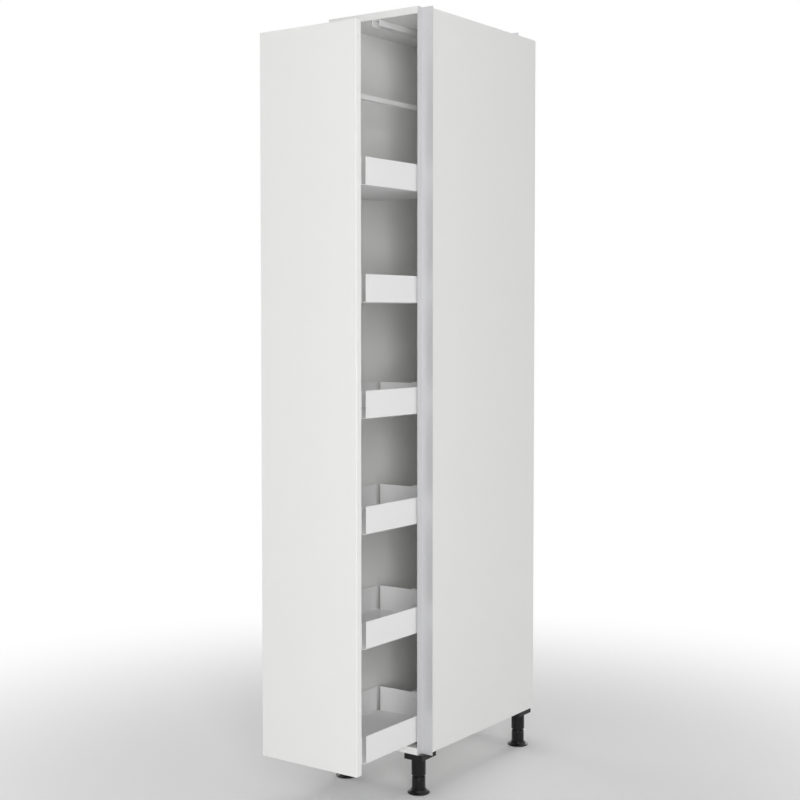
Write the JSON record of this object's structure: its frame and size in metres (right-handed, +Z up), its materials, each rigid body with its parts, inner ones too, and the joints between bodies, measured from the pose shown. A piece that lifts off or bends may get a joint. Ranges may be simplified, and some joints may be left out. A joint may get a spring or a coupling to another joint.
{
  "type": "pull out larder unit",
  "caption": "Tall narrow kitchen unit on levelling feet; its full-height front draws out a steel frame of open trays on full-extension runners.",
  "frame": {"origin": "on the floor, under the middle of the unit's outline as stored, with the larder part way out", "axes": "+Z up, +Y from the front towards the room's wall, +X to the right seen from the front"},
  "size_m": [0.315, 0.837, 2.037],
  "materials": {
    "white_board": "white melamine-faced board, satin",
    "white_front": "white satin lacquer",
    "edge_band": "white edge band, satin",
    "beech": "plain beech",
    "profile": "fine satin anodised",
    "zinc": "bright zinc plated",
    "runner": "zinc plated rolled steel",
    "frame_coat": "white powder coat, satin",
    "tray_coat": "white powder coat, satin",
    "foot_black": "moulded black, semi-gloss",
    "guide_white": "moulded off-white, satin",
    "cage": "moulded dark grey",
    "buffer": "soft clear grey"
  },
  "bodies": {
    "carcass": {"side_left": "white_board", "side_right": "white_board", "top_board": "white_board", "bottom_board": "white_board", "back_board": "white_board", "edge_bands": "edge_band", "board_dowels": "beech", "grip_profile": "profile", "grip_screws": "zinc", "wall_brackets": "zinc", "wall_bracket_screws": "zinc", "guide_rail_screws": "zinc", "guide_rail": "frame_coat", "slide_outer_left": "runner", "slide_outer_right": "runner", "slide_screws": "zinc", "foot_plate_front_left": "foot_black", "foot_plate_front_right": "foot_black", "foot_plate_rear_left": "foot_black", "foot_plate_rear_right": "foot_black", "foot_sleeve_front_left": "foot_black", "foot_sleeve_front_right": "foot_black", "foot_sleeve_rear_left": "foot_black", "foot_sleeve_rear_right": "foot_black", "foot_plate_screws": "zinc"},
    "runner_middles": {"slide_middle_left": "runner", "slide_middle_right": "runner"},
    "cages_outer": {"ball_cages_outer": "cage"},
    "cages_inner": {"ball_cages_inner": "cage"},
    "larder": {"slide_inner_left": "runner", "slide_inner_right": "runner", "carriage_plate": "frame_coat", "carriage_screws": "zinc", "front_post": "frame_coat", "rear_post": "frame_coat", "front_post_cap": "guide_white", "post_brackets": "frame_coat", "top_bar": "frame_coat", "frame_screws": "zinc", "guide_carriage": "guide_white", "guide_axles": "zinc", "tray_1": "tray_coat", "tray_2": "tray_coat", "tray_3": "tray_coat", "tray_4": "tray_coat", "tray_5": "tray_coat", "tray_6": "tray_coat", "tray_hangers": "tray_coat", "hanger_screws": "zinc", "tray_rivets": "tray_coat", "door": "white_front", "door_brackets": "frame_coat", "door_screws": "zinc", "door_buffers": "buffer"},
    "roller_front": {"guide_roller_front": "guide_white"},
    "roller_rear": {"guide_roller_rear": "guide_white"},
    "foot_front_left": {"screw_foot_front_left": "foot_black"},
    "foot_front_right": {"screw_foot_front_right": "foot_black"},
    "foot_rear_left": {"screw_foot_rear_left": "foot_black"},
    "foot_rear_right": {"screw_foot_rear_right": "foot_black"}
  },
  "joints": [
    {"name": "larder_pull_out", "type": "slide", "parent": "carcass", "child": "larder", "axis": [0, -1, 0], "range_m": [-0.255, 0.195]},
    {"name": "runner_middles_slide", "type": "slide", "parent": "carcass", "child": "runner_middles", "axis": [0, -1, 0], "range_m": [-0.1275, 0.0975]},
    {"name": "cages_outer_slide", "type": "slide", "parent": "carcass", "child": "cages_outer", "axis": [0, -1, 0], "range_m": [-0.06375, 0.04875]},
    {"name": "cages_inner_slide", "type": "slide", "parent": "carcass", "child": "cages_inner", "axis": [0, -1, 0], "range_m": [-0.19125, 0.14625]},
    {"name": "roller_front_turn", "type": "hinge", "parent": "larder", "child": "roller_front", "pos_m": [-0.0075, 0.0755, 1.9795], "axis": [0, 0, 1], "range_deg": [-1440, 1100]},
    {"name": "roller_rear_turn", "type": "hinge", "parent": "larder", "child": "roller_rear", "pos_m": [-0.0075, 0.1075, 1.9795], "axis": [0, 0, 1], "range_deg": [-1440, 1100]},
    {"name": "foot_front_left_adjust", "type": "slide", "parent": "carcass", "child": "foot_front_left", "axis": [0, 0, 1], "range_m": [-0.025, 0]},
    {"name": "foot_front_right_adjust", "type": "slide", "parent": "carcass", "child": "foot_front_right", "axis": [0, 0, 1], "range_m": [-0.025, 0]},
    {"name": "foot_rear_left_adjust", "type": "slide", "parent": "carcass", "child": "foot_rear_left", "axis": [0, 0, 1], "range_m": [-0.025, 0]},
    {"name": "foot_rear_right_adjust", "type": "slide", "parent": "carcass", "child": "foot_rear_right", "axis": [0, 0, 1], "range_m": [-0.025, 0]}
  ],
  "couplings": [
    {"joint": "runner_middles_slide", "follows": "larder_pull_out", "ratio": 0.5},
    {"joint": "cages_outer_slide", "follows": "larder_pull_out", "ratio": 0.25},
    {"joint": "cages_inner_slide", "follows": "larder_pull_out", "ratio": 0.75},
    {"joint": "roller_front_turn", "follows": "larder_pull_out", "rad_per_m": 98.039},
    {"joint": "roller_rear_turn", "follows": "larder_pull_out", "rad_per_m": 98.039}
  ]
}
